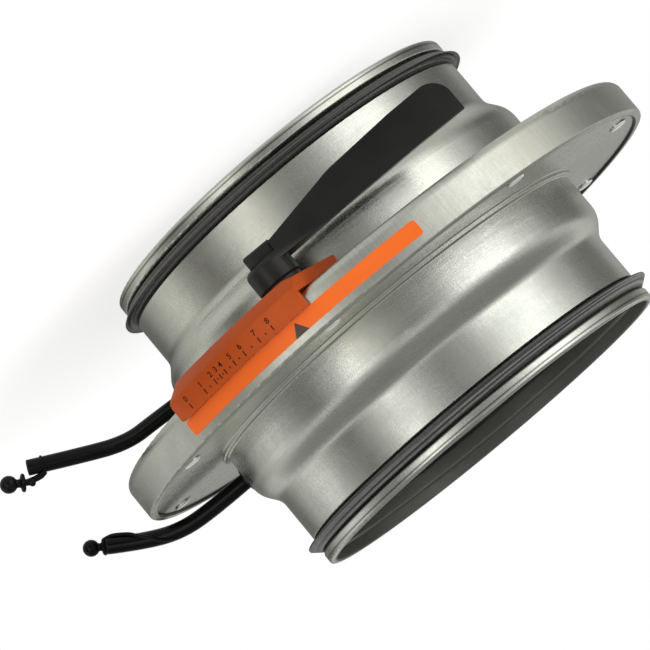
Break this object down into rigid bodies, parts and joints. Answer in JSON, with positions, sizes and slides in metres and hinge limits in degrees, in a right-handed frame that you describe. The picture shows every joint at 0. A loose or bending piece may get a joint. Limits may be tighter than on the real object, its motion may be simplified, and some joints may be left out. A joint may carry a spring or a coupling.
{
  "type": "volume control damper",
  "caption": "Iris volume control damper for round duct: two spigots with lip seals, a flat drum with iris blades, scale bracket, clamp lever and two measuring tubes.",
  "frame": {"origin": "centre of the lower spigot's end, on the surface the damper stands on", "axes": "+Z along the duct axis towards the upper spigot; -Y to the front, where the scale and the lever are; +X to the right, where the tubes are"},
  "size_m": [0.2183, 0.192, 0.101],
  "materials": {
    "galvanised_steel": "spun galvanised sheet, satin",
    "ring_steel": "galvanised sheet, satin",
    "blade_steel": "rolled thin sheet, satin",
    "rivet_steel": "zinc plated, bright",
    "zinc_steel": "zinc plated, satin",
    "seal_rubber": "moulded, matte",
    "tube_rubber": "smooth, satin",
    "nylon": "moulded, matte",
    "nipple_plastic": "moulded, satin",
    "sticker": "printed film, satin",
    "orange_plastic": "moulded, satin",
    "black_plastic": "moulded, matte"
  },
  "bodies": {
    "casing": {"lower_casing": "galvanised_steel", "upper_casing": "galvanised_steel", "upper_seal": "seal_rubber", "lower_seal": "seal_rubber", "pivot_rivets": "rivet_steel", "pointer_label": "sticker", "upper_nipple": "nipple_plastic", "lower_nipple": "nipple_plastic", "upper_tube": "tube_rubber", "lower_tube": "tube_rubber", "upper_plug": "tube_rubber", "lower_plug": "tube_rubber"},
    "control": {"control_ring": "ring_steel", "guide_shoes": "nylon", "scale_bracket": "orange_plastic", "clamp_bolt": "zinc_steel", "clamp_washer": "black_plastic"},
    "lever": {"lock_lever": "black_plastic", "lever_nut": "black_plastic"},
    "iris_blade_1": {"blade_1": "blade_steel", "drive_pin_1": "rivet_steel"},
    "iris_blade_2": {"blade_2": "blade_steel", "drive_pin_2": "rivet_steel"},
    "iris_blade_3": {"blade_3": "blade_steel", "drive_pin_3": "rivet_steel"},
    "iris_blade_4": {"blade_4": "blade_steel", "drive_pin_4": "rivet_steel"},
    "iris_blade_5": {"blade_5": "blade_steel", "drive_pin_5": "rivet_steel"},
    "iris_blade_6": {"blade_6": "blade_steel", "drive_pin_6": "rivet_steel"},
    "iris_blade_7": {"blade_7": "blade_steel", "drive_pin_7": "rivet_steel"},
    "iris_blade_8": {"blade_8": "blade_steel", "drive_pin_8": "rivet_steel"}
  },
  "joints": [
    {"name": "control_ring_turn", "type": "hinge", "parent": "casing", "child": "control", "pos_m": [0, 0, 0.0505], "axis": [0, 0, 1], "range_deg": [-24, 0]},
    {"name": "lock_lever_turn", "type": "hinge", "parent": "control", "child": "lever", "pos_m": [0.02012, -0.07949, 0.031], "axis": [0, 0, 1], "range_deg": [0, 95]},
    {"name": "blade_swing_1", "type": "hinge", "parent": "casing", "child": "iris_blade_1", "pos_m": [0.01664, -0.08641, 0.0545], "axis": [0, 0, 1], "range_deg": [0, 27.62]},
    {"name": "blade_swing_2", "type": "hinge", "parent": "casing", "child": "iris_blade_2", "pos_m": [0.07287, -0.04934, 0.0545], "axis": [0, 0, 1], "range_deg": [0, 27.62]},
    {"name": "blade_swing_3", "type": "hinge", "parent": "casing", "child": "iris_blade_3", "pos_m": [0.08641, 0.01664, 0.0545], "axis": [0, 0, 1], "range_deg": [0, 27.62]},
    {"name": "blade_swing_4", "type": "hinge", "parent": "casing", "child": "iris_blade_4", "pos_m": [0.04934, 0.07287, 0.0545], "axis": [0, 0, 1], "range_deg": [0, 27.62]},
    {"name": "blade_swing_5", "type": "hinge", "parent": "casing", "child": "iris_blade_5", "pos_m": [-0.01664, 0.08641, 0.0545], "axis": [0, 0, 1], "range_deg": [0, 27.62]},
    {"name": "blade_swing_6", "type": "hinge", "parent": "casing", "child": "iris_blade_6", "pos_m": [-0.07287, 0.04934, 0.0545], "axis": [0, 0, 1], "range_deg": [0, 27.62]},
    {"name": "blade_swing_7", "type": "hinge", "parent": "casing", "child": "iris_blade_7", "pos_m": [-0.08641, -0.01664, 0.0545], "axis": [0, 0, 1], "range_deg": [0, 27.62]},
    {"name": "blade_swing_8", "type": "hinge", "parent": "casing", "child": "iris_blade_8", "pos_m": [-0.04934, -0.07287, 0.0545], "axis": [0, 0, 1], "range_deg": [0, 27.62]}
  ],
  "couplings": [
    {"joint": "blade_swing_1", "follows": "control_ring_turn", "ratio": -1.1507},
    {"joint": "blade_swing_2", "follows": "control_ring_turn", "ratio": -1.1507},
    {"joint": "blade_swing_3", "follows": "control_ring_turn", "ratio": -1.1507},
    {"joint": "blade_swing_4", "follows": "control_ring_turn", "ratio": -1.1507},
    {"joint": "blade_swing_5", "follows": "control_ring_turn", "ratio": -1.1507},
    {"joint": "blade_swing_6", "follows": "control_ring_turn", "ratio": -1.1507},
    {"joint": "blade_swing_7", "follows": "control_ring_turn", "ratio": -1.1507},
    {"joint": "blade_swing_8", "follows": "control_ring_turn", "ratio": -1.1507}
  ]
}
